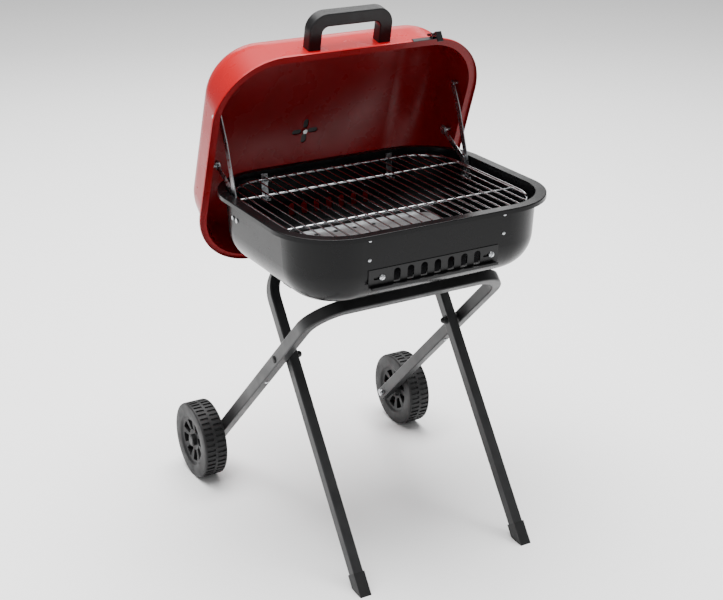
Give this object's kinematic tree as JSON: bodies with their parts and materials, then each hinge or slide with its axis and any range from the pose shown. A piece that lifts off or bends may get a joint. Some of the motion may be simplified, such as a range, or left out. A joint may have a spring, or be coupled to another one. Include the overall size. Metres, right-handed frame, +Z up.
{
  "type": "portable charcoal grill",
  "caption": "Portable charcoal grill: pressed bowl and hinged lid on folding crossed tube legs with two wheels.",
  "frame": {"origin": "on the ground under the middle of the outline's box, legs open and lid up", "axes": "+Z up, +X to the right seen from the front, -Y to the front, where the handle and the main vent shutter are"},
  "size_m": [0.592, 0.686, 1.0403],
  "materials": {
    "bowl_enamel": "black satin-gloss enamel on pressed steel",
    "lid_enamel": "red gloss enamel on pressed steel",
    "leg_powder_coat": "black satin powder coat on rectangular tube",
    "damper_black": "black enamel on pressed strip",
    "zinc_plate": "bright zinc plate",
    "grate_chrome": "bright nickel-chrome plated wire",
    "sheet_aluminium": "bright plated pressed sheet",
    "handle_plastic": "moulded black heat-resistant plastic",
    "wheel_plastic": "moulded black plastic",
    "cap_plastic": "moulded black plastic"
  },
  "bodies": {
    "bowl": {"bowl_shell": "bowl_enamel", "bracket_rivets": "zinc_plate", "grate_bracket_front_left": "zinc_plate", "grate_bracket_front_right": "zinc_plate", "grate_bracket_rear_left": "zinc_plate", "grate_bracket_rear_right": "zinc_plate", "front_shutter_screws": "zinc_plate", "rear_shutter_screws": "zinc_plate", "rear_strap_left": "damper_black", "rear_strap_right": "damper_black", "front_rest_left": "damper_black", "front_rest_right": "damper_black", "leg_clip_left": "damper_black", "leg_clip_right": "damper_black", "bracket_screws": "zinc_plate", "bowl_pivot_studs": "zinc_plate"},
    "front_shutter": {"front_shutter": "damper_black"},
    "rear_shutter": {"rear_shutter": "damper_black"},
    "charcoal_grate": {"charcoal_grate": "sheet_aluminium"},
    "cooking_grate": {"grate_frame": "grate_chrome", "grate_rods": "grate_chrome"},
    "foot_frame": {"foot_frame_top": "leg_powder_coat", "foot_frame_leg_left": "leg_powder_coat", "foot_frame_leg_right": "leg_powder_coat", "foot_cap_left": "cap_plastic", "foot_cap_right": "cap_plastic", "foot_frame_button_springs": "zinc_plate", "pivot_bolts": "cap_plastic", "pivot_nuts": "cap_plastic", "pivot_spacers": "cap_plastic"},
    "wheel_frame": {"wheel_frame_top": "leg_powder_coat", "wheel_frame_leg_left": "leg_powder_coat", "wheel_frame_leg_right": "leg_powder_coat", "wheel_frame_button_springs": "zinc_plate", "axle_bolt_left": "zinc_plate", "axle_bolt_right": "zinc_plate", "axle_nut_and_spacer_left": "zinc_plate", "axle_nut_and_spacer_right": "zinc_plate"},
    "wheel_left": {"wheel_left": "wheel_plastic", "hub_cap_left": "cap_plastic"},
    "wheel_right": {"wheel_right": "wheel_plastic", "hub_cap_right": "cap_plastic"},
    "foot_button_left": {"foot_frame_button_left": "zinc_plate"},
    "foot_button_right": {"foot_frame_button_right": "zinc_plate"},
    "wheel_button_left": {"wheel_frame_button_left": "zinc_plate"},
    "wheel_button_right": {"wheel_frame_button_right": "zinc_plate"},
    "long_arms": {"long_arm_left": "zinc_plate", "long_arm_right": "zinc_plate"},
    "short_arms": {"short_arm_left": "zinc_plate", "short_arm_right": "zinc_plate"},
    "lid": {"lid_shell": "lid_enamel", "lid_handle": "handle_plastic", "handle_screws": "zinc_plate", "lid_pivot_studs": "zinc_plate", "lid_vent_rivet": "zinc_plate", "latch_bracket": "damper_black", "latch_pin": "zinc_plate"},
    "lid_damper": {"lid_damper": "damper_black"},
    "latch_hook": {"latch_hook": "damper_black"}
  },
  "joints": [
    {"name": "foot_frame_fold", "type": "hinge", "parent": "bowl", "child": "foot_frame", "pos_m": [0, 0.06419, 0.53908], "axis": [-1, 0, 0], "range_deg": [0, 53.1]},
    {"name": "wheel_frame_fold", "type": "hinge", "parent": "foot_frame", "child": "wheel_frame", "pos_m": [0, -0.04727, 0.38512], "axis": [1, 0, 0], "range_deg": [0, 90]},
    {"name": "wheel_left_spin", "type": "hinge", "parent": "wheel_frame", "child": "wheel_left", "pos_m": [-0.256, 0.25996, 0.083], "axis": [1, 0, 0], "continuous": true},
    {"name": "wheel_right_spin", "type": "hinge", "parent": "wheel_frame", "child": "wheel_right", "pos_m": [0.256, 0.25996, 0.083], "axis": [1, 0, 0], "continuous": true},
    {"name": "lid_long_arms", "type": "hinge", "parent": "bowl", "child": "long_arms", "pos_m": [0, 0.00949, 0.6628], "axis": [1, 0, 0], "range_deg": [0, 86.28]},
    {"name": "lid_tilt", "type": "hinge", "parent": "long_arms", "child": "lid", "pos_m": [0, 0.07966, 0.85176], "axis": [1, 0, 0], "range_deg": [-16.62, 0]},
    {"name": "lid_short_arms", "type": "hinge", "parent": "bowl", "child": "short_arms", "pos_m": [0, 0.02619, 0.66384], "axis": [1, 0, 0], "range_deg": [0, 98.66]},
    {"name": "lid_damper_turn", "type": "hinge", "parent": "lid", "child": "lid_damper", "pos_m": [0, 0.2402, 0.7472], "axis": [0, 0.9376, 0.3476], "range_deg": [0, 45]},
    {"name": "latch_swing", "type": "hinge", "parent": "lid", "child": "latch_hook", "pos_m": [0.165, -0.0032, 0.97799], "axis": [1, 0, 0], "range_deg": [0, 50]},
    {"name": "front_shutter_slide", "type": "slide", "parent": "bowl", "child": "front_shutter", "axis": [1, 0, 0], "range_m": [0, 0.0145]},
    {"name": "rear_shutter_slide", "type": "slide", "parent": "bowl", "child": "rear_shutter", "axis": [-1, 0, 0], "range_m": [0, 0.0145]},
    {"name": "charcoal_grate_lift", "type": "slide", "parent": "bowl", "child": "charcoal_grate", "axis": [0, 0, 1], "range_m": [0, 0.05]},
    {"name": "cooking_grate_lift", "type": "slide", "parent": "bowl", "child": "cooking_grate", "axis": [0, 0, 1], "range_m": [0, 0.12]},
    {"name": "foot_button_left_press", "type": "slide", "parent": "foot_frame", "child": "foot_button_left", "axis": [0, -0.81, 0.5864], "range_m": [0, 0.004], "stiffness_N_per_m": 1500},
    {"name": "wheel_button_left_press", "type": "slide", "parent": "wheel_frame", "child": "wheel_button_left", "axis": [0, 0.7012, 0.713], "range_m": [0, 0.004], "stiffness_N_per_m": 1500},
    {"name": "foot_button_right_press", "type": "slide", "parent": "foot_frame", "child": "foot_button_right", "axis": [0, -0.81, 0.5864], "range_m": [0, 0.004], "stiffness_N_per_m": 1500},
    {"name": "wheel_button_right_press", "type": "slide", "parent": "wheel_frame", "child": "wheel_button_right", "axis": [0, 0.7012, 0.713], "range_m": [0, 0.004], "stiffness_N_per_m": 1500}
  ],
  "couplings": [
    {"joint": "wheel_frame_fold", "follows": "foot_frame_fold", "ratio": 1.6949},
    {"joint": "lid_tilt", "follows": "lid_long_arms", "ratio": -0.19261},
    {"joint": "lid_short_arms", "follows": "lid_long_arms", "ratio": 1.1435}
  ]
}
